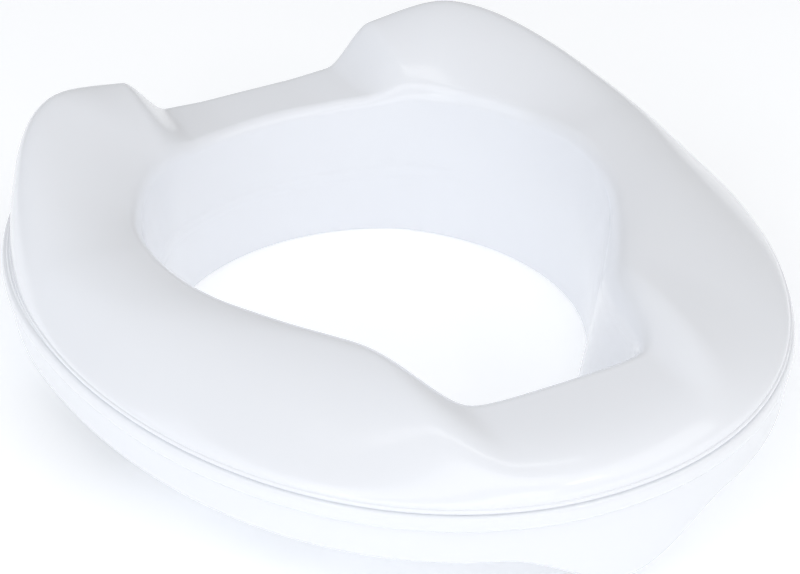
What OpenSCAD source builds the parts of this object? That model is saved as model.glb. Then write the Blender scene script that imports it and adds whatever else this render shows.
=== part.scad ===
// Raised toilet seat: a moulded ring of two shells that rests on the rim of a toilet bowl. An inner collar
// hangs into the bowl and two sliding brackets, locked by knobs from below, press outwards on the bowl.
// Units are millimetres. +Z is up, -Y is the front of the seat, z = 0 is the foot of the collar.

/* [Ring outline] */
// Half of the width of the seat's edge
half_w = 181.5; // [165:0.5:200]
// From the outline's centre to the front edge
front_len = 247.5; // [220:0.5:265]
// Squareness of the front half, 2 is an ellipse
front_n = 2.09; // [2:0.01:2.6]
// Length of the ellipse that rounds the rear half
rear_len = 207; // [190:1:240]
// From the outline's centre to the straight rear edge
rear_flat = 157.7; // [140:0.1:170]
// Sharpness of the two rear corners
corner_n = 15; // [6:1:30]
// Y of the outline's centre
centre_y = 45; // [30:1:60]

/* [Hole] */
// Half width of the round part of the hole, at the lip
lip_w = 115; // [100:0.5:120]
// Half length of the round part of the hole, at the lip
lip_l = 113.5; // [100:0.5:125]
// Y of the centre of the round part
hole_y = 42; // [30:1:50]
// Half width of the front slot, at the lip
slot_w = 50; // [40:0.5:60]
// From the hole's centre to the front end of the slot
slot_len = 171.5; // [140:1:180]
// How much the collar narrows to each side at its foot
foot_dw = 9.5; // [0:0.5:16]
// How much the slot narrows at the collar's foot
foot_ds = 10; // [0:0.5:18]

/* [Heights] */
// Underside of the seat, which lies over the bowl's rim
rest_z = 34; // [30:0.5:50]
// Seam between the two shells
seam_z = 62; // [50:0.5:70]
// Height of the lip round the hole
lip_z = 82.5; // [75:0.5:90]
// Height of the middle of the ring at the front and the sides
crest_z = 91; // [85:0.5:100]
// Extra height of the crest at the rear wings
wing_rise = 20.5; // [0:0.5:30]
// Height of the shoulder along the front edge
shoulder_z = 76; // [70:0.5:90]
// Height of the dip at the rear
rear_dip_z = 78; // [72:0.5:85]
// Height of the dip at the front
front_dip_z = 81.5; // [72:0.5:85]
// Lowest point of the front locating lobe
lobe_z = 13; // [5:0.5:30]

/* [Shells] */
// Wall thickness
wall = 3; // [2:0.1:5]
// Rounding of the lip
lip_r = 8; // [4:0.5:14]
// Half width of the front lobe
lobe_w = 58; // [40:1:80]
// Thickness of the front lobe
lobe_t = 11; // [4:0.5:14]
// Number of facets around the ring
ring_steps = 120; // [72:12:144]
// Number of rows across the top of the ring
top_rows = 14; // [10:1:20]

/* [Brackets] */
// Middle of the bracket channels along Y
bracket_y = 42; // [30:1:50]
// Width of each bracket
bracket_w = 76; // [50:1:84]
// Inner face of the bracket's leg, from the middle plane
leg_x = 122; // [120:0.5:126]
// Thickness of the bracket
bracket_t = 2.8; // [2:0.1:4]
// Thickness of the leg that hangs into the bowl
leg_t = 4; // [3:0.5:5]
// Lowest point of the leg
leg_foot_z = 6; // [3:0.5:20]
// Underside of the channel's roof
channel_roof_z = 51; // [46:0.5:54]
// Travel towards the middle of the seat
travel_in = 5; // [2:0.5:6]
// Travel away from the middle of the seat
travel_out = 7; // [4:0.5:8]

/* [Knobs and bolts] */
// X of the bolts, from the middle plane
bolt_x = 146; // [144:0.5:148]
// Y distance of each bolt from the bracket's middle
bolt_dy = 24; // [16:0.5:28]
// Radius of the bolt's shank
bolt_r = 3; // [2.5:0.5:4]
// Radius over the knob's lobes
knob_r = 11; // [9:0.5:12]
// Height of the knob
knob_h = 8; // [6:0.5:9]
// Thickness of the washer
washer_t = 1.5; // [1:0.1:2]

/* [Hidden] */

edge_h = 1.6;                                  // height of the seat's edge above the seam
under_rows = 8;                                // rows across the hidden side of the seat shell
wall_rows = 3;                                 // rows up the collar
tab_angles = [22, 60, 122, 238, 300, 338];     // screw tabs, round from the front
tab_in = 9.2;                                  // tab centre, in from the seat's side wall
tab_r = 7;
tab_t = 4;
post_r = 5;
screw_r = 1.5;
pad_r = 8;                                     // rubber buffers under the seat
pad_front = [112, -84];
pad_rear = [64, 177];
bracket_z = channel_roof_z - 0.1 - bracket_t;  // underside of the bracket's flat leg
washer_z = bracket_z - washer_t - 0.05;
knob_z = washer_z - knob_h;
bracket_end_x = bolt_x + 13;                   // outer end of the flat leg
channel_w = bracket_w + 16;
channel_x = bracket_end_x + travel_out + 3;
white = [0.93, 0.94, 0.96];

// ---- shape functions ----------------------------------------------------------------------------------

// smooth step from 0 at a to 1 at b
function sstep(a, b, x) = let (t = min(1, max(0, (x - a) / (b - a)))) t * t * (3 - 2 * t);
function part_pow(v, n) = pow(max(abs(v), 0.000001), n);
// polar radius of a superellipse with half width w and half length l
function super_r(s, c, w, l, n) = pow(part_pow(s / w, n) + part_pow(c / l, n), -1 / n);
function soft_min(a, b, m) = pow(pow(a, -m) + pow(b, -m), -1 / m);

// outline of the seat's edge; phi is 0 at the front and 90 on the right
function outer_r(phi) = let (s = sin(phi), c = cos(phi))
    c >= 0 ? super_r(s, c, half_w, front_len, front_n)
           : soft_min(super_r(s, c, half_w, rear_len, 2), rear_flat / max(-c, 0.001), corner_n);
function outer_pt(phi, inset) = let (r = outer_r(phi) - inset) [r * sin(phi), centre_y - r * cos(phi)];

// outline of the hole: a round hole blended with a front slot, made smaller by dw and ds
function inner_pt(phi, dw, dl, ds) =
    let (s = sin(phi), c = cos(phi),
         round_r = super_r(s, c, lip_w - dw, c > 0 ? lip_w - dw : lip_l - dl, 2),
         slot_r = soft_min((slot_w - ds) / max(abs(s), 0.0001),
                           (c > 0 ? slot_len - ds : lobe_w) / max(abs(c), 0.0001), 8),
         r = pow(pow(round_r, 4) + pow(slot_r, 4), 1 / 4))
    [r * s, hole_y - r * c];

// angle from the front, 0 to 180 on both sides
function turn(phi) = phi > 180 ? 360 - phi : phi;
function edge_inset(a) = 1 + 2.7 * sstep(70, 115, a) * (1 - 0.5 * sstep(120, 136, a));
// exponent of the fall to the outer edge: soft at the front slopes, sharp at the wings
function fall_n(a) = 2.2 * pow(8.4, sstep(75, 141, a)) + 1.6 * (1 - sstep(12, 34, a));
// the lip is softer beside the slot and tighter round the middle of the hole
function lip_radius(a) = lip_r + 6 * sstep(10, 20, a) * (1 - sstep(32, 55, a)) - 2 * sstep(50, 80, a);

// height of the ring across its width, u = 0 at the lip and 1 at the outer edge, with both dips
function ring_h(a, u, x, y) =
    let (lip = lip_z + 3.5 * sstep(30, 60, a) * (1 - sstep(90, 115, a)),
         crest = crest_z + wing_rise * sstep(95, 144, a) - 10 * sstep(138, 158, a),
         shoulder = shoulder_z + 37.5 * sstep(75, 141, a) - 8 * sstep(142, 162, a),
         uc = 0.24 + 0.74 * sstep(36, 132, a),
         h = u < uc ? lip + (crest - lip) * (1 - pow(1 - u / uc, 2))
                    : crest + (shoulder - crest) * pow((u - uc) / (1 - uc), 2),
         keep = y > hole_y ? sstep(48, 74, abs(x)) : sstep(43.5, 70, abs(x)),
         dip = y > hole_y ? rear_dip_z - 0.7 + 1.8 * sstep(22, 55, abs(x)) : front_dip_z)
    dip + (h - dip) * keep;

// a point of the top surface (t = 0) or of the hidden side a wall's thickness t below it
function top_pt(phi, u, t) =
    let (a = turn(phi), p = inner_pt(phi, -t, -t, -t), q = outer_pt(phi, edge_inset(a) + t),
         x = p.x + (q.x - p.x) * u, y = p.y + (q.y - p.y) * u,
         r = lip_radius(a) - t, d = max(0, 1 - u * norm(q - p) / r),
         z0 = t > 0 ? seam_z : seam_z + edge_h,
         h = ring_h(a, u, x, y) - 1.1 * t - r * (1 - sqrt(max(0, 1 - d * d))))
    [x, y, z0 + (h - z0) * sqrt(max(0, 1 - pow(u, fall_n(a))))];

// a point of the collar, g = 0 at its foot and 1 at the lip
function wall_pt(phi, g, t) =
    let (k = 1 - g, p = inner_pt(phi, foot_dw * k - t, -t, foot_ds * k - t)) [p.x, p.y, top_pt(phi, 0, t).z * g];

function edge_pt(phi, inset, z) = let (p = outer_pt(phi, inset)) [p.x, p.y, z];
// rows bunch towards the lip and the edge
function row_u(k, n) = (1 - cos(180 * k / n)) / 2;
function around(n) = [for (j = [0:n - 1]) 360 * j / n];

function seat_rows() = let (f = around(ring_steps)) concat(
    [for (k = [0:wall_rows]) [for (phi = f) wall_pt(phi, k / wall_rows, 0)]],
    [for (k = [1:top_rows]) [for (phi = f) top_pt(phi, row_u(k, top_rows), 0)]],
    [[for (phi = f) edge_pt(phi, edge_inset(turn(phi)) - 0.5, seam_z + edge_h - 0.4)],
     [for (phi = f) edge_pt(phi, edge_inset(turn(phi)) - 1, seam_z + 0.6)],
     [for (phi = f) edge_pt(phi, edge_inset(turn(phi)) - 1, seam_z)]],
    [for (k = [under_rows:-1:0]) [for (phi = f) top_pt(phi, row_u(k, under_rows), wall)]],
    [[for (phi = f) wall_pt(phi, 0.5, wall)], [for (phi = f) wall_pt(phi, 0, wall)]]);

// closes a list of rows into a ring-shaped solid
module ring_solid(rows) {
    n = len(rows[0]);
    m = len(rows);
    polyhedron(points = [for (r = rows) each r],
        faces = [for (i = [0:m - 1], j = [0:n - 1])
            let (i2 = (i + 1) % m, j2 = (j + 1) % n, a = i * n + j, b = i * n + j2, c = i2 * n + j2, d = i2 * n + j)
            each [[a, b, c], [a, c, d]]]);
}

// ---- shells -------------------------------------------------------------------------------------------

function tab_pos(phi) = outer_pt(phi, edge_inset(turn(phi)) + tab_in);
function outline(inset) = [for (phi = around(120)) outer_pt(phi, inset)];
function collar_line(g, gap) = [for (phi = around(120))
    inner_pt(phi, foot_dw * (1 - g) - wall - gap, -wall - gap, foot_ds * (1 - g) - wall - gap)];

// Top shell: seat surface, lip and collar in one moulding, with tabs for the screws
module seat_shell() color(white) {
    difference() {
        union() {
            ring_solid(seat_rows());
            for (phi = tab_angles) translate([tab_pos(phi).x, tab_pos(phi).y, seam_z])
                cylinder(r = tab_r, h = tab_t, $fn = 32);
        }
        for (phi = tab_angles) translate([tab_pos(phi).x, tab_pos(phi).y, seam_z - 1])
            cylinder(r = screw_r, h = tab_t + 2, $fn = 24);
    }
}

module band(out, in, z0, z1) translate([0, 0, z0]) linear_extrude(z1 - z0) difference() {
    polygon(outline(out));
    polygon(outline(in));
}

module on_both_sides() {
    children();
    mirror([1, 0, 0]) children();
}

// front lobe that hooks over the front of the bowl
module lobe() intersection() {
    band(1.5, 1.5 + lobe_t, lobe_z, rest_z + 2);
    translate([0, -100, 0]) rotate([90, 0, 0]) linear_extrude(120)
        polygon(concat([for (x = [-lobe_w:4:lobe_w]) [x, rest_z - (rest_z - lobe_z) * (1 - sstep(0, lobe_w, abs(x)))]],
                       [[lobe_w, rest_z + 5], [-lobe_w, rest_z + 5]]));
}

// Bottom shell: beaded skirt, underside, front lobe and the two bracket channels
module base_shell() color(white) difference() {
    union() {
        band(1.5, 1.5 + wall, rest_z, seam_z);
        band(-0.9, 3, seam_z - 9.5, seam_z - 1);
        band(-1.5, 3, seam_z - 8, seam_z - 2.5);
        translate([0, 0, rest_z]) linear_extrude(wall) polygon(outline(2));
        lobe();
        on_both_sides() translate([60, bracket_y - channel_w / 2 - wall, rest_z])
            cube([channel_x + wall - 60, channel_w + 2 * wall, channel_roof_z + wall - rest_z]);
        for (phi = tab_angles) translate([tab_pos(phi).x, tab_pos(phi).y, rest_z])
            cylinder(r = post_r, h = seam_z - rest_z, $fn = 32);
        on_both_sides() for (p = [pad_front, pad_rear]) translate([p.x, p.y, rest_z])
            cylinder(r = pad_r + 2.5, h = 5, $fn = 48);
    }
    translate([0, 0, rest_z - 25]) linear_extrude(25 + wall + 1.5) polygon(collar_line(0.53, 0.5));
    translate([0, 0, rest_z + wall + 1]) linear_extrude(30) polygon(collar_line(0.75, 0.6));
    on_both_sides() {
        translate([50, bracket_y - channel_w / 2, rest_z - 1])
            cube([channel_x - 50, channel_w, channel_roof_z - rest_z + 1]);
        for (d = [-bolt_dy, bolt_dy]) translate([bolt_x, bracket_y + d, channel_roof_z - 1])
            cylinder(r = bolt_r + 0.05, h = wall + 2, $fn = 32);
        for (p = [pad_front, pad_rear]) translate([p.x, p.y, rest_z - 1])
            cylinder(r = pad_r + 0.05, h = 3, $fn = 48);
    }
    for (phi = tab_angles) translate([tab_pos(phi).x, tab_pos(phi).y, rest_z - 1]) {
        cylinder(r = screw_r + 0.3, h = 40, $fn = 24);
        cylinder(r = 3.9, h = 4, $fn = 32);
    }
}

// Six self-tapping screws that hold the shells together
module case_screws() color([0.75, 0.76, 0.78]) for (phi = tab_angles)
    translate([tab_pos(phi).x, tab_pos(phi).y, rest_z]) difference() {
        union() {
            translate([0, 0, 0.8]) cylinder(r = 3.6, h = 2.2, $fn = 32);
            cylinder(r = screw_r, h = seam_z + tab_t - 0.5 - rest_z, $fn = 24);
        }
        translate([-2.2, -0.45, -1]) cube([4.4, 0.9, 2.8]);
        translate([-0.45, -2.2, -1]) cube([0.9, 4.4, 2.8]);
        translate([0, 0, -1]) cylinder(r = 3, h = 1.8, $fn = 24);
    }

// Rubber buffer between the underside and the bowl's rim
module rim_pad(p) color([0.3, 0.31, 0.33]) translate([p.x, p.y, rest_z - 1.2]) difference() {
    union() {
        cylinder(r1 = pad_r - 0.6, r2 = pad_r, h = 0.6, $fn = 48);
        translate([0, 0, 0.6]) cylinder(r = pad_r, h = 2.6, $fn = 48);
    }
    translate([0, 0, -1]) cylinder(r = 2.4, h = 1.6, $fn = 24);
}

// ---- brackets, bolts and knobs ------------------------------------------------------------------------

// L-shaped bracket: a slotted flat leg in the channel and a leg that hangs just outside the collar
module bracket() color([0.88, 0.89, 0.91]) difference() {
    union() {
        translate([leg_x, bracket_y - bracket_w / 2, bracket_z])
            cube([bracket_end_x - leg_x - 8, bracket_w, bracket_t]);
        for (d = [-1, 1]) translate([bracket_end_x - 8, bracket_y + d * (bracket_w / 2 - 8), bracket_z])
            cylinder(r = 8, h = bracket_t, $fn = 48);
        translate([bracket_end_x - 9, bracket_y - bracket_w / 2 + 8, bracket_z])
            cube([9, bracket_w - 16, bracket_t]);
        translate([leg_x, bracket_y - bracket_w / 2, leg_foot_z + 8])
            cube([leg_t, bracket_w, bracket_z + bracket_t - leg_foot_z - 8]);
        for (d = [-1, 1]) translate([leg_x, bracket_y + d * (bracket_w / 2 - 8), leg_foot_z + 8])
            rotate([0, 90, 0]) cylinder(r = 8, h = leg_t, $fn = 48);
        translate([leg_x, bracket_y - bracket_w / 2 + 8, leg_foot_z])
            cube([leg_t, bracket_w - 16, 9]);
        // ribs in the corner, beside and between the knobs
        for (y = [-bracket_w / 2, -1.5, bracket_w / 2 - 3]) translate([leg_x, bracket_y + y + 3, 0])
            rotate([90, 0, 0]) linear_extrude(3)
                polygon([[1, rest_z - 1], [leg_t, rest_z - 1], [leg_t + 11, bracket_z + 1], [1, bracket_z + 1]]);
    }
    for (d = [-bolt_dy, bolt_dy]) translate([0, bracket_y + d, bracket_z - 1]) {
        for (x = [bolt_x - travel_out, bolt_x + travel_in]) translate([x, 0, 0])
            cylinder(r = bolt_r + 0.3, h = bracket_t + 2, $fn = 32);
        translate([bolt_x - travel_out, -bolt_r - 0.3, 0])
            cube([travel_out + travel_in, 2 * bolt_r + 0.6, bracket_t + 2]);
    }
}

// Grooved rubber facing on the bracket's leg
module bracket_pad() color([0.3, 0.31, 0.33]) difference() {
    translate([leg_x + leg_t, bracket_y - bracket_w / 2 + 4, leg_foot_z + 4]) cube([3, bracket_w - 8, 22]);
    for (k = [0:3]) translate([leg_x + leg_t + 2, bracket_y - bracket_w / 2, leg_foot_z + 7.4 + 4.4 * k])
        cube([2, bracket_w, 2]);
}

// Bolt whose hexagon head sits on the channel's roof
module bolt() color([0.75, 0.76, 0.78]) {
    translate([0, 0, channel_roof_z + wall]) cylinder(r = 5.77, h = 4, $fn = 6);
    translate([0, 0, rest_z + 2.5]) cylinder(r = bolt_r, h = channel_roof_z + wall - rest_z - 2.5, $fn = 32);
    translate([0, 0, rest_z + 2]) cylinder(r1 = bolt_r - 0.5, r2 = bolt_r, h = 0.5, $fn = 32);
}

module washer() color([0.75, 0.76, 0.78]) translate([0, 0, washer_z]) difference() {
    cylinder(r = 9, h = washer_t, $fn = 48);
    translate([0, 0, -1]) cylinder(r = bolt_r + 0.3, h = washer_t + 2, $fn = 32);
}

// Star knob with a moulded-in brass insert
module knob() color([0.88, 0.89, 0.91]) translate([0, 0, knob_z]) difference() {
    union() {
        cylinder(r = knob_r - 2.5, h = knob_h, $fn = 48);
        for (k = [0:5]) rotate(60 * k) translate([knob_r - 2.5, 0, 0]) cylinder(r = 2.5, h = knob_h - 1, $fn = 24);
    }
    translate([0, 0, -1]) cylinder(r = 4.5, h = knob_h + 2, $fn = 32);
}

module knob_insert() color([0.8, 0.66, 0.36]) translate([0, 0, knob_z]) difference() {
    cylinder(r = 4.5, h = knob_h, $fn = 32);
    translate([0, 0, -1]) cylinder(r = bolt_r + 0.05, h = knob_h + 2, $fn = 32);
}

// puts a right-hand part on either side: side is 1 for right and -1 for left
module on_side(side) { if (side > 0) children(); else mirror([1, 0, 0]) children(); }
module at_bolt(side, end) translate([side * bolt_x, bracket_y + end * bolt_dy, 0]) children();

seat_shell();
base_shell();
case_screws();
rim_pad([-pad_front.x, pad_front.y]);  // rim_pad_front_left
rim_pad(pad_front);  // rim_pad_front_right
rim_pad([-pad_rear.x, pad_rear.y]);  // rim_pad_rear_left
rim_pad(pad_rear);  // rim_pad_rear_right
on_side(-1) bracket();  // bracket_left
on_side(1) bracket();  // bracket_right
on_side(-1) bracket_pad();  // bracket_pad_left
on_side(1) bracket_pad();  // bracket_pad_right
at_bolt(-1, -1) bolt();  // bolt_front_left
at_bolt(-1, 1) bolt();  // bolt_rear_left
at_bolt(1, -1) bolt();  // bolt_front_right
at_bolt(1, 1) bolt();  // bolt_rear_right
at_bolt(-1, -1) washer();  // washer_front_left
at_bolt(-1, 1) washer();  // washer_rear_left
at_bolt(1, -1) washer();  // washer_front_right
at_bolt(1, 1) washer();  // washer_rear_right
at_bolt(-1, -1) knob();  // knob_front_left
at_bolt(-1, 1) knob();  // knob_rear_left
at_bolt(1, -1) knob();  // knob_front_right
at_bolt(1, 1) knob();  // knob_rear_right
at_bolt(-1, -1) knob_insert();  // knob_insert_front_left
at_bolt(-1, 1) knob_insert();  // knob_insert_rear_left
at_bolt(1, -1) knob_insert();  // knob_insert_front_right
at_bolt(1, 1) knob_insert();  // knob_insert_rear_right
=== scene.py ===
# Raised toilet seat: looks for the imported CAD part, in metres and in the part's own frame.
# +Z is up, -Y is the front of the seat, z = 0 is the foot of the inner collar.
import math

import bmesh
import bpy
import numpy as np
from mathutils import Matrix, Vector


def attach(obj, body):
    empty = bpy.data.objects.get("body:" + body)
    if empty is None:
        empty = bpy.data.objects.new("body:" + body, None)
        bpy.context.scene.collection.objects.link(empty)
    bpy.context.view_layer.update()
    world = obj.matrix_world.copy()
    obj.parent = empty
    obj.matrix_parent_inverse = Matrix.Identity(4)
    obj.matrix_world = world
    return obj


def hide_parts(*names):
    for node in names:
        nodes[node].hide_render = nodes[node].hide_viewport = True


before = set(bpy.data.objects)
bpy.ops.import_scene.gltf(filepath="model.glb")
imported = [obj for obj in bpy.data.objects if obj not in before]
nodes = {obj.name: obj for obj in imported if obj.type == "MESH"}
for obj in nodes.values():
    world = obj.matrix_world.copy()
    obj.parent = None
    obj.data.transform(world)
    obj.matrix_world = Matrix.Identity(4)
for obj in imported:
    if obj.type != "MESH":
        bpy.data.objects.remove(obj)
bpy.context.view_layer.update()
scene = bpy.context.scene
MM = 0.001

# ---- shape of the ring, in millimetres -----------------------------------------------------------
HALF_W, FRONT_LEN, FRONT_N = 181.5, 247.5, 2.09      # outline of the seat's edge
REAR_LEN, REAR_FLAT, CORNER_N, CENTRE_Y = 207.0, 157.7, 15.0, 45.0
LIP_W, LIP_L, HOLE_Y = 115.0, 113.5, 42.0            # round part of the hole, at the lip
SLOT_W, SLOT_LEN = 50.0, 171.5                       # front slot of the hole, at the lip
FOOT_DW, FOOT_DS = 9.5, 10.0                         # how much the collar narrows to its foot
REST_Z, SEAM_Z, LIP_Z = 34.0, 62.0, 82.5
CREST_Z, WING_RISE, SHOULDER_Z = 91.0, 20.5, 76.0
REAR_DIP_Z, FRONT_DIP_Z = 78.0, 81.5
LOBE_Z, LOBE_W, LOBE_T = 13.0, 58.0, 11.0
WALL, LIP_R, EDGE_H = 3.0, 8.0, 1.6
RIDGE = 0.35                                         # height of the line round the rear of the collar
BEAD_TOP, BEAD_R, BEAD_OUT = 1.0, 4.3, 2.4           # bead: below the seam, half height, bulge
SKIRT_TOP = 10.4                                     # start of the skirt below the seam
SKIRT_IN, SKIRT_DRAFT, SKIRT_EDGE_R = 1.0, 0.9, 2.0  # skirt: inset, draft, rounded bottom edge
SKIRT_DROP = 0.12                                    # skirt's edge below the flat underside
SKIRT_BACK = 1.5                                     # skirt's inner side behind the CAD wall's
TRIM = 3.4                                           # inset at which the underside meets the skirt

# ---- where the ring changes, in degrees from the front: 0 front, 90 side, 180 rear --------------
SIDE_NARROWS, SIDE_RETURNS = (70, 115), (120, 136)   # the seat's edge draws in, then half way back
SOFT_LIP, SOFT_LIP_ENDS, REAR_LIP = (10, 20), (32, 55), (50, 80)
FALL_LATER, FALL_FRONT = (75, 141), (12, 34)         # how the surface turns down to its edge
LIP_RISES, LIP_SINKS = (30, 60), (90, 115)
WING_STARTS, WING_ENDS = (95, 144), (138, 158)
SHOULDER_ENDS = (142, 162)
CREST_MOVES_OUT = (36, 132)
REAR_DIP_SIDE, FRONT_DIP_SIDE = (48, 74), (43.5, 70) # these two in mm from the middle

# ---- counts of points and rows -------------------------------------------------------------------
AROUND = 480                                         # points round the ring
ACROSS, ACROSS_HIDDEN = 64, 24                       # rows across its top and its hidden side
BEAD_STEPS, SKIRT_ROWS, EDGE_STEPS = 12, 14, 5
CUTTER_POINTS = 240
SHELL_SHARP, UNDERSIDE_SHARP, PART_SHARP = 50, 30, 40   # a steeper edge, in degrees, looks sharp


def step(a, b, x):
    """0 below a, 1 above b and a smooth curve between."""
    t = np.clip((x - a) / (b - a), 0, 1)
    return t * t * (3 - 2 * t)


def super_r(s, c, w, length, n):
    return (np.abs(s / w) ** n + np.abs(c / length) ** n) ** (-1 / n)


def soft_min(a, b, m):
    return (a ** -m + b ** -m) ** (-1 / m)


def outer(phi, inset):
    """Outline of the seat's edge. phi is 0 at the front and a quarter turn on the right."""
    s, c = np.sin(phi), np.cos(phi)
    r = np.where(c > 0, super_r(s, c, HALF_W, FRONT_LEN, FRONT_N), super_r(s, c, HALF_W, REAR_LEN, 2))
    r = np.where(c > 0, r, soft_min(r, REAR_FLAT / np.maximum(-c, 0.001), CORNER_N)) - inset
    return r * s, CENTRE_Y - r * c


def inner(phi, dw=0.0, dl=0.0, ds=0.0):
    """Outline of the hole: a round hole blended with a front slot."""
    s, c = np.sin(phi), np.cos(phi)
    rr = super_r(s, c, LIP_W - dw, np.where(c > 0, LIP_W - dw, LIP_L - dl), 2)
    reach = np.where(c > 0, SLOT_LEN - ds, LOBE_W)
    rs = soft_min((SLOT_W - ds) / np.maximum(np.abs(s), 1e-4), reach / np.maximum(np.abs(c), 1e-4), 8)
    r = (rr ** 4 + rs ** 4) ** 0.25
    return r * s, HOLE_Y - r * c


def turn(phi):
    """Degrees from the front, 0 to 180 on both sides."""
    d = np.degrees(phi)
    return np.where(d > 180, 360 - d, d)


def edge_inset(a):
    """How far the seat's own edge is inside the outline."""
    return 1 + 2.7 * step(*SIDE_NARROWS, a) * (1 - 0.5 * step(*SIDE_RETURNS, a))


def lip_radius(a):
    """The lip is soft beside the slot and tighter round the bowl's opening."""
    return LIP_R + 6 * step(*SOFT_LIP, a) * (1 - step(*SOFT_LIP_ENDS, a)) - 2 * step(*REAR_LIP, a)


def fall_power(a):
    """How late the surface turns down to its edge: soft at the front slopes, late at the wings."""
    return 2.2 * 8.4 ** step(*FALL_LATER, a) + 1.6 * (1 - step(*FALL_FRONT, a))


def ring_height(a, u, x, y):
    """Height across the ring, u = 0 at the lip and 1 at the outer edge, with the two dips."""
    lip = LIP_Z + 3.5 * step(*LIP_RISES, a) * (1 - step(*LIP_SINKS, a))
    crest = CREST_Z + WING_RISE * step(*WING_STARTS, a) - 10 * step(*WING_ENDS, a)
    shoulder = SHOULDER_Z + 37.5 * step(*FALL_LATER, a) - 8 * step(*SHOULDER_ENDS, a)
    uc = 0.24 + 0.74 * step(*CREST_MOVES_OUT, a)      # where across the ring the crest is
    h = np.where(u < uc, lip + (crest - lip) * (1 - (1 - u / uc) ** 2),
                 crest + (shoulder - crest) * ((u - uc) / (1 - uc)) ** 2)
    keep = np.where(y > HOLE_Y, step(*REAR_DIP_SIDE, np.abs(x)), step(*FRONT_DIP_SIDE, np.abs(x)))
    dip = np.where(y > HOLE_Y, REAR_DIP_Z - 0.7 + 1.8 * step(22, 55, np.abs(x)), FRONT_DIP_Z)
    return dip + (h - dip) * keep


def top_row(phi, u, t):
    """One row of the top surface, or of the hidden side a wall's thickness t below it."""
    a = turn(phi)
    px, py = inner(phi, -t, -t, -t)
    qx, qy = outer(phi, edge_inset(a) + t)
    x, y = px + (qx - px) * u, py + (qy - py) * u
    r = lip_radius(a) - t
    d = np.maximum(0, 1 - u * np.hypot(qx - px, qy - py) / r)
    base = SEAM_Z + (EDGE_H if t == 0 else 0)
    h = ring_height(a, u, x, y) - 1.1 * t - r * (1 - np.sqrt(np.maximum(0, 1 - d * d)))
    fall = np.sqrt(np.maximum(0, 1 - u ** fall_power(a)))
    return np.stack([x, y, base + (h - base) * fall], 1)


def wall_row(phi, g, t):
    """One row of the collar, g = 0 at its foot and 1 at the lip."""
    k = 1 - g
    ridge = RIDGE * (step(0.41, 0.45, g) - step(0.50, 0.54, g)) * (1 - step(40, 60, 180 - turn(phi)))
    x, y = inner(phi, FOOT_DW * k - t + ridge, ridge - t, FOOT_DS * k - t)
    return np.stack([x, y, top_row(phi, 0.0, t)[:, 2] * g], 1)


def edge_row(phi, inset, z):
    x, y = outer(phi, inset)
    return np.stack([x, y, np.broadcast_to(z, x.shape)], 1)


def closed_mesh(name, rows):
    """A ring-shaped solid from closed rows of points in millimetres."""
    pts = np.concatenate(rows) * MM
    n, m = len(rows[0]), len(rows)
    i, j = np.meshgrid(np.arange(m), np.arange(n), indexing="ij")
    i2, j2 = (i + 1) % m, (j + 1) % n
    quads = np.stack([i * n + j, i2 * n + j, i2 * n + j2, i * n + j2], -1).reshape(-1, 4)
    mesh = bpy.data.meshes.new(name)
    mesh.from_pydata(pts.tolist(), [], quads.tolist())
    obj = bpy.data.objects.new(name, mesh)
    scene.collection.objects.link(obj)
    mark_sharp(obj, SHELL_SHARP)
    return obj


def mark_sharp(obj, angle):
    bm = bmesh.new()
    bm.from_mesh(obj.data)
    bmesh.ops.recalc_face_normals(bm, faces=bm.faces)
    limit = math.radians(angle)
    for e in bm.edges:
        e.smooth = len(e.link_faces) == 2 and e.calc_face_angle(0) < limit
    for f in bm.faces:
        f.smooth = True
    bm.to_mesh(obj.data)
    bm.free()


def apply_modifiers(obj):
    graph = bpy.context.evaluated_depsgraph_get()
    mesh = bpy.data.meshes.new_from_object(obj.evaluated_get(graph))
    obj.modifiers.clear()
    obj.data = mesh


# ---- materials -----------------------------------------------------------------------------------

def new_material(name):
    m = bpy.data.materials.new(name)
    m.use_nodes = True
    return m, m.node_tree, m.node_tree.nodes["Principled BSDF"]


def noise(tree, scale, detail, rough=0.5):
    tc = tree.nodes.new("ShaderNodeTexCoord")
    n = tree.nodes.new("ShaderNodeTexNoise")
    n.inputs["Scale"].default_value = scale
    n.inputs["Detail"].default_value = detail
    n.inputs["Roughness"].default_value = rough
    tree.links.new(tc.outputs["Object"], n.inputs["Vector"])
    return n.outputs["Fac"]


def to_range(tree, value, low, high):
    r = tree.nodes.new("ShaderNodeMapRange")
    r.inputs["From Min"].default_value = 0.3
    r.inputs["From Max"].default_value = 0.7
    r.inputs["To Min"].default_value = low
    r.inputs["To Max"].default_value = high
    tree.links.new(value, r.inputs["Value"])
    return r.outputs["Result"]


def two_colours(tree, value, a, b):
    mix = tree.nodes.new("ShaderNodeMix")
    mix.data_type = "RGBA"
    mix.inputs["A"].default_value = (*a, 1)
    mix.inputs["B"].default_value = (*b, 1)
    tree.links.new(value, mix.inputs["Factor"])
    return mix.outputs["Result"]


def bump(tree, shader, *layers):
    """Each layer is (height, strength, distance)."""
    last = None
    for height, strength, distance in layers:
        b = tree.nodes.new("ShaderNodeBump")
        b.inputs["Strength"].default_value = strength
        b.inputs["Distance"].default_value = distance
        tree.links.new(height, b.inputs["Height"])
        if last is not None:
            tree.links.new(last, b.inputs["Normal"])
        last = b.outputs["Normal"]
    tree.links.new(last, shader.inputs["Normal"])


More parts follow.
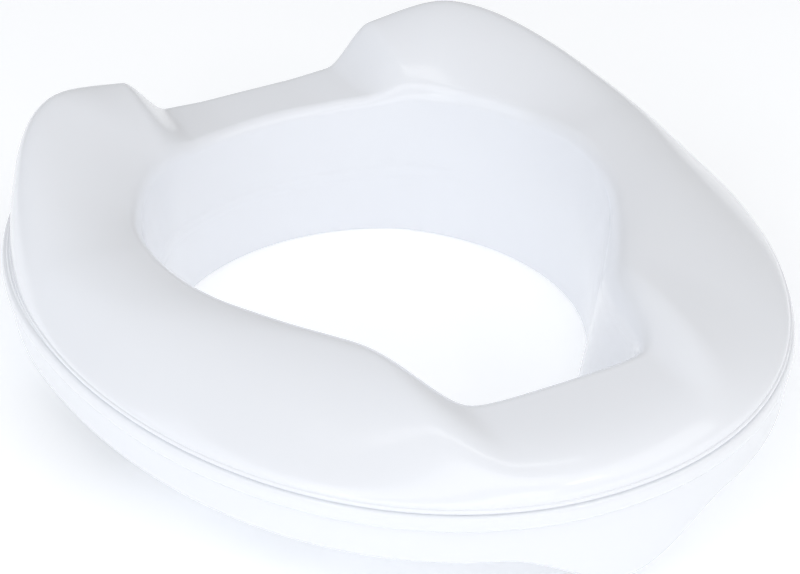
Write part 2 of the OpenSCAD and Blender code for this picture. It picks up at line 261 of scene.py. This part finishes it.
def plastic(name, light, dark, rough, grain, depth, gloss=0.0, soft=0.0):
    """Moulded plastic or rubber with faint clouds, uneven gloss, slow waves and a fine grain."""
    m, tree, s = new_material(name)
    clouds = to_range(tree, noise(tree, 9, 5), 0, 1)
    tree.links.new(two_colours(tree, clouds, dark, light), s.inputs["Base Color"])
    tree.links.new(to_range(tree, noise(tree, 34, 4, 0.6), rough[0], rough[1]), s.inputs["Roughness"])
    s.inputs["IOR"].default_value = 1.49
    s.inputs["Coat Weight"].default_value = gloss
    s.inputs["Coat Roughness"].default_value = 0.06
    s.inputs["Subsurface Weight"].default_value = soft
    s.inputs["Subsurface Radius"].default_value = (1.0, 0.95, 0.9)
    s.inputs["Subsurface Scale"].default_value = 0.004
    bump(tree, s, (noise(tree, 60, 2), 0.05, 0.0006), (noise(tree, grain, 3, 0.6), depth, 0.0002))
    return m


def metal(name, light, dark, rough, streak):
    """Plated or turned metal with spots, and streaks that the three streak scales stretch."""
    m, tree, s = new_material(name)
    s.inputs["Metallic"].default_value = 1.0
    spots = to_range(tree, noise(tree, 120, 5), 0, 1)
    tree.links.new(two_colours(tree, spots, dark, light), s.inputs["Base Color"])
    tree.links.new(to_range(tree, noise(tree, 300, 4), rough[0], rough[1]), s.inputs["Roughness"])
    tc = tree.nodes.new("ShaderNodeTexCoord")
    stretch = tree.nodes.new("ShaderNodeMapping")
    stretch.inputs["Scale"].default_value = streak
    n = tree.nodes.new("ShaderNodeTexNoise")
    n.inputs["Scale"].default_value = 500
    n.inputs["Detail"].default_value = 3
    tree.links.new(tc.outputs["Object"], stretch.inputs["Vector"])
    tree.links.new(stretch.outputs["Vector"], n.inputs["Vector"])
    bump(tree, s, (n.outputs["Fac"], 0.25, 0.0002))
    return m


seat_white = plastic("seat_white", (0.864, 0.880, 0.918), (0.856, 0.872, 0.910),
                     rough=(0.18, 0.25), grain=900, depth=0.05, gloss=0.35, soft=0.05)
base_white = plastic("base_white", (0.850, 0.866, 0.900), (0.842, 0.858, 0.892),
                     rough=(0.20, 0.26), grain=800, depth=0.07, gloss=0.3, soft=0.05)
bracket_white = plastic("bracket_white", (0.80, 0.81, 0.82), (0.76, 0.77, 0.785),
                        rough=(0.42, 0.55), grain=1500, depth=0.35)
knob_white = plastic("knob_white", (0.80, 0.81, 0.82), (0.75, 0.76, 0.775),
                     rough=(0.40, 0.52), grain=1800, depth=0.4)
rubber = plastic("grey_rubber", (0.075, 0.078, 0.082), (0.05, 0.052, 0.056),
                 rough=(0.72, 0.88), grain=1400, depth=0.5)
zinc = metal("zinc_steel", (0.72, 0.73, 0.75), (0.58, 0.59, 0.61),
             rough=(0.29, 0.42), streak=(1, 1, 0.15))
brass = metal("turned_brass", (0.72, 0.53, 0.22), (0.60, 0.42, 0.15),
              rough=(0.29, 0.38), streak=(0.1, 0.1, 4))


def dress(obj, material):
    obj.data.materials.clear()
    obj.data.materials.append(material)


# ---- the two shells ------------------------------------------------------------------------------
angles = np.linspace(0, 2 * math.pi, AROUND, endpoint=False)


def spread(n):
    """n + 1 values from 0 to 1, closer together at both ends."""
    return [(1 - math.cos(math.pi * k / n)) / 2 for k in range(n + 1)]


# rows up the collar, closer together round its ridge
WALL_ROWS = sorted(set(np.linspace(0, 1, 20)) | set(np.linspace(0.40, 0.55, 16)))


def seat_surface():
    rows = [wall_row(angles, g, 0) for g in WALL_ROWS]
    rows += [top_row(angles, u, 0) for u in spread(ACROSS)[1:]]
    side = edge_inset(turn(angles)) - 1
    rows += [edge_row(angles, side + 0.45, SEAM_Z + 1.45), edge_row(angles, side + 0.12, SEAM_Z + 1.1),
             edge_row(angles, side, SEAM_Z + 0.6), edge_row(angles, side, SEAM_Z)]
    rows += [top_row(angles, u, WALL) for u in reversed(spread(ACROSS_HIDDEN))]
    rows += [wall_row(angles, g, WALL) for g in (0.75, 0.5, 0.25, 0)]
    return closed_mesh("seat_ring", rows)


def skirt_surface():
    x = outer(angles, 0)[0]
    front = np.cos(angles) > 0
    lobe = np.where(front, 1 - step(0, LOBE_W, np.abs(x)), 0)
    foot = REST_Z - SKIRT_DROP - (REST_Z - SKIRT_DROP - LOBE_Z) * lobe
    back = 1.5 + WALL + (LOBE_T - WALL) * step(0.02, 0.35, lobe)
    rows = [edge_row(angles, 4.5, SEAM_Z), edge_row(angles, 1.6, SEAM_Z),
            edge_row(angles, 1.1, SEAM_Z - 0.6)]
    for k in range(BEAD_STEPS + 1):                    # rounded bead under the seam
        t = math.pi * k / BEAD_STEPS
        bulge = BEAD_OUT * math.sin(t) ** 0.75
        rows.append(edge_row(angles, 0.9 - bulge, SEAM_Z - BEAD_TOP - BEAD_R * (1 - math.cos(t))))
    top = SEAM_Z - SKIRT_TOP
    rows.append(edge_row(angles, SKIRT_IN, top))
    for g in np.linspace(0.06, 1, SKIRT_ROWS):         # skirt, with a little draft
        z = top + (foot + SKIRT_EDGE_R - top) * g
        rows.append(edge_row(angles, SKIRT_IN + SKIRT_DRAFT * g, z))
    low_in = SKIRT_IN + SKIRT_DRAFT
    for k in range(1, EDGE_STEPS + 1):                 # rounded bottom edge
        t = math.pi / 2 * k / EDGE_STEPS
        z = foot + SKIRT_EDGE_R * (1 - math.sin(t))
        rows.append(edge_row(angles, low_in + SKIRT_EDGE_R * (1 - math.cos(t)), z))
    behind = back + SKIRT_BACK                         # inner side: in the underside's plate, or
                                                       # just behind the lobe's own back
    rows.append(edge_row(angles, 0.5 * (low_in + SKIRT_EDGE_R + back), foot))
    rows.append(edge_row(angles, behind - 0.4, foot + 0.3 * lobe))
    rows.append(edge_row(angles, behind, foot + 1.5 * lobe))
    rows.append(edge_row(angles, behind, REST_Z + 2.0))
    rows.append(edge_row(angles, WALL + 1.85, REST_Z + 2.6))
    return closed_mesh("base_skirt", rows)


seat = seat_surface()
dress(seat, seat_white)
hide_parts("seat_shell")
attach(seat, "seat")

skirt = skirt_surface()
dress(skirt, base_white)
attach(skirt, "seat")


def detailed(name, node, material, body, bevel, segments=2):
    """A piece with rounded edges made from a CAD node's own shape."""
    obj = bpy.data.objects.new(name, nodes[node].data.copy())
    scene.collection.objects.link(obj)
    bm = bmesh.new()
    bm.from_mesh(obj.data)
    bmesh.ops.remove_doubles(bm, verts=bm.verts, dist=1e-6)
    flat = math.radians(0.5)
    bmesh.ops.dissolve_limit(bm, angle_limit=flat, verts=bm.verts, edges=bm.edges)
    bm.to_mesh(obj.data)
    bm.free()
    if bevel:
        b = obj.modifiers.new("edges", "BEVEL")
        b.width = bevel
        b.segments = segments
        b.limit_method = "ANGLE"
        b.angle_limit = math.radians(35)
        b.harden_normals = False
        apply_modifiers(obj)
    mark_sharp(obj, PART_SHARP)
    dress(obj, material)
    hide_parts(node)
    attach(obj, body)


def inner_base():
    """The underside, channels and posts: the CAD shell without its plain outer wall."""
    obj = bpy.data.objects.new("base_underside", nodes["base_shell"].data.copy())
    scene.collection.objects.link(obj)
    bm = bmesh.new()
    bm.from_mesh(obj.data)
    bmesh.ops.remove_doubles(bm, verts=bm.verts, dist=1e-6)
    bm.to_mesh(obj.data)
    bm.free()
    cutter = closed_prism("cutter", TRIM, -10, 200)
    b = obj.modifiers.new("trim", "BOOLEAN")
    b.operation = "INTERSECT"
    b.solver = "EXACT"
    b.object = cutter
    apply_modifiers(obj)
    bpy.data.objects.remove(cutter)
    mark_sharp(obj, UNDERSIDE_SHARP)
    return obj


def closed_prism(name, inset, z0, z1):
    """A prism over the seat's outline, an inset inside it."""
    phi = np.linspace(0, 2 * math.pi, CUTTER_POINTS, endpoint=False)
    low, high = edge_row(phi, inset, z0) * MM, edge_row(phi, inset, z1) * MM
    n = len(phi)
    mesh = bpy.data.meshes.new(name)
    faces = [[k, (k + 1) % n, n + (k + 1) % n, n + k] for k in range(n)]
    faces += [list(range(n))[::-1], list(range(n, 2 * n))]
    mesh.from_pydata(np.concatenate([low, high]).tolist(), [], faces)
    obj = bpy.data.objects.new(name, mesh)
    scene.collection.objects.link(obj)
    return obj


underside = inner_base()
dress(underside, base_white)
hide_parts("base_shell")
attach(underside, "seat")

# ---- small parts ---------------------------------------------------------------------------------
for side in ("left", "right"):
    clamp = f"clamp_{side}"
    detailed(f"clamp_bracket_{side}", f"bracket_{side}", bracket_white,
             clamp, 0.0008, 3)
    detailed(f"clamp_facing_{side}", f"bracket_pad_{side}", rubber, clamp, 0.0003)
    for end in ("front", "rear"):
        at = f"{end}_{side}"
        detailed(f"buffer_{at}", f"rim_pad_{at}", rubber, "seat", 0.0003)
        detailed(f"hex_bolt_{at}", f"bolt_{at}", zinc, "seat", 0.0002)
        turning = f"knob_body_{at}"
        detailed(f"flat_washer_{at}", f"washer_{at}", zinc, f"washer_body_{at}", 0.0002)
        detailed(f"star_knob_{at}", f"knob_{at}", knob_white, turning, 0.0007, 3)
        detailed(f"brass_insert_{at}", f"knob_insert_{at}", brass, turning, 0.0002)
detailed("shell_screws", "case_screws", zinc, "seat", 0.0002)

# ---- floor, light and camera ---------------------------------------------------------------------
floor_mesh = bpy.data.meshes.new("floor")
floor_mesh.from_pydata([(-6, -6, 0), (6, -6, 0), (6, 6, 0), (-6, 6, 0)], [], [(0, 1, 2, 3)])
floor = bpy.data.objects.new("floor", floor_mesh)
scene.collection.objects.link(floor)
floor.location.z = -0.0004
paper, tree, shader = new_material("pale_floor")
shader.inputs["Roughness"].default_value = 0.9
paper_tone = two_colours(tree, noise(tree, 3, 3), (0.93, 0.935, 0.94), (0.95, 0.95, 0.955))
tree.links.new(paper_tone, shader.inputs["Base Color"])
shader.inputs["Emission Color"].default_value = (0.93, 0.96, 1.0, 1)
shader.inputs["Emission Strength"].default_value = 0.258
floor_mesh.materials.append(paper)

world = bpy.data.worlds.new("studio")
world.use_nodes = True
scene.world = world
wt = world.node_tree
coords = wt.nodes.new("ShaderNodeTexCoord")
split = wt.nodes.new("ShaderNodeSeparateXYZ")
ramp = wt.nodes.new("ShaderNodeValToRGB")
ramp.color_ramp.elements[0].position = 0.0
ramp.color_ramp.elements[0].color = (0.97, 0.97, 0.97, 1)
ramp.color_ramp.elements[1].position = 0.9
ramp.color_ramp.elements[1].color = (1.0, 1.0, 1.0, 1)
wt.links.new(coords.outputs["Generated"], split.inputs["Vector"])
wt.links.new(split.outputs["Z"], ramp.inputs["Fac"])
wt.links.new(ramp.outputs["Color"], wt.nodes["Background"].inputs["Color"])
wt.nodes["Background"].inputs["Strength"].default_value = 0.5


def around_seat(azimuth, elevation, distance):
    """A place round the seat: azimuth 0 is in front of it and 90 on its right."""
    a, e = math.radians(azimuth), math.radians(elevation)
    across = distance * math.cos(e)
    return across * math.sin(a), -across * math.cos(a), distance * math.sin(e)


def softbox(name, place, size, power, colour=(1, 1, 1), aim=(0, 0, 0.06)):
    lamp = bpy.data.lights.new(name, "AREA")
    lamp.shape = "RECTANGLE"
    lamp.size, lamp.size_y = size
    lamp.energy = power
    lamp.color = colour
    obj = bpy.data.objects.new(name, lamp)
    obj.location = place
    obj.rotation_euler = (Vector(aim) - Vector(place)).to_track_quat("-Z", "Y").to_euler()
    scene.collection.objects.link(obj)


softbox("front_low", around_seat(-36, 18, 2.3), (3.2, 1.0), 11.4, (0.95, 0.97, 1.0))
softbox("front_high", around_seat(-36, 60, 2.3), (2.6, 0.9), 8.5, (0.98, 0.98, 1.0))
softbox("left_fill", around_seat(-95, 35, 2.2), (1.8, 1.4), 7, (0.86, 0.92, 1.0))
softbox("right_fill", around_seat(40, 35, 2.2), (1.8, 1.4), 7.6)
softbox("overhead_strip", (0.03, 0.05, 1.6), (1.2, 0.16), 1.0, aim=(0, 0, 0.09))
softbox("front_window", around_seat(12, 33, 1.7), (0.24, 0.14), 0.65)
softbox("left_window", around_seat(-66, 33, 1.7), (0.24, 0.14), 0.5)

# The camera looks from CAMERA_AZ, CAMERA_EL toward CAMERA_AIM, rolled a little.
CAMERA_AZ, CAMERA_EL, CAMERA_ROLL = -26.286, 30.502, -1.770
CAMERA_AIM, CAMERA_DISTANCE = (-0.0022, 0.02754, 0.06493), 1.25
camera = bpy.data.cameras.new("camera")
camera.sensor_width = 36
camera.lens = 113.19
camera.shift_x = 0.0192
camera.shift_y = -0.0526
view = bpy.data.objects.new("camera", camera)
azimuth, roll = math.radians(CAMERA_AZ), math.radians(CAMERA_ROLL)
back = Vector(around_seat(CAMERA_AZ, CAMERA_EL, 1))
level = Vector((math.cos(azimuth), math.sin(azimuth), 0))
right = level * math.cos(roll) + back.cross(level) * math.sin(roll)
view.matrix_world = Matrix((right, back.cross(right), back)).transposed().to_4x4()
view.location = Vector(CAMERA_AIM) + back * CAMERA_DISTANCE
scene.collection.objects.link(view)
scene.camera = view
scene.view_settings.view_transform = "Standard"
